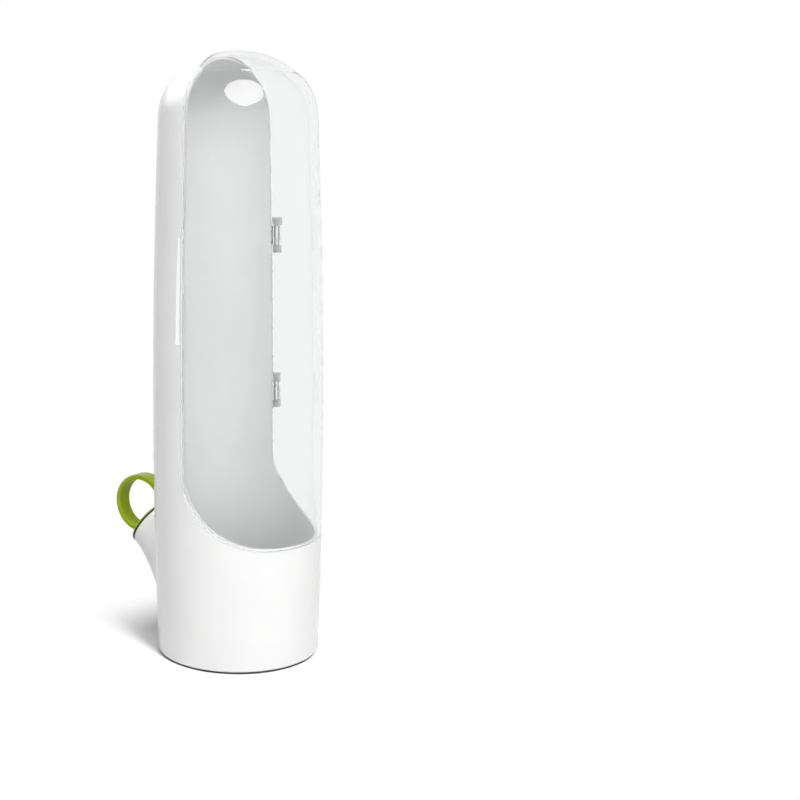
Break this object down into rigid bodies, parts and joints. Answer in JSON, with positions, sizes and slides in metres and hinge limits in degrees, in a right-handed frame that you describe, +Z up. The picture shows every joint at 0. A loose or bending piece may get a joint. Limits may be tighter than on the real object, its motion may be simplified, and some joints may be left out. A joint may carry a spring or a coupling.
{
  "type": "herb keeper",
  "caption": "Tall domed herb keeper: white shell with a round water base, clear hinged front window, and a leaning filler spout closed by a soft plug with a finger ring.",
  "frame": {"origin": "on the tube's axis, on the underside of the foot pad, where the keeper stands", "axes": "+Z up along the tube, -Y towards the clear window, +Y towards the filler spout, +X towards the window's hinge"},
  "size_m": [0.0748, 0.0973, 0.2448],
  "materials": {
    "white_shell": "glossy moulded plastic",
    "clear_window": "clear glossy plastic",
    "hinge_steel": "plain steel wire",
    "plug_silicone": "satin silicone",
    "seal_silicone": "satin silicone",
    "foot_rubber": "matt rubber"
  },
  "bodies": {
    "keeper": {"body_shell": "white_shell", "lower_hinge_pin": "hinge_steel", "upper_hinge_pin": "hinge_steel", "base_cap": "white_shell", "base_seal": "seal_silicone", "foot_pad": "foot_rubber"},
    "window": {"front_window": "clear_window"},
    "plug": {"filler_plug": "plug_silicone"}
  },
  "joints": [
    {"name": "window_hinge", "type": "hinge", "parent": "keeper", "child": "window", "pos_m": [0.0374, 0.0042, 0.1385], "axis": [0, 0, 1], "range_deg": [0, 115]},
    {"name": "plug_pull", "type": "slide", "parent": "keeper", "child": "plug", "axis": [0, 0.81, 0.5864], "range_m": [0, 0.022]}
  ]
}
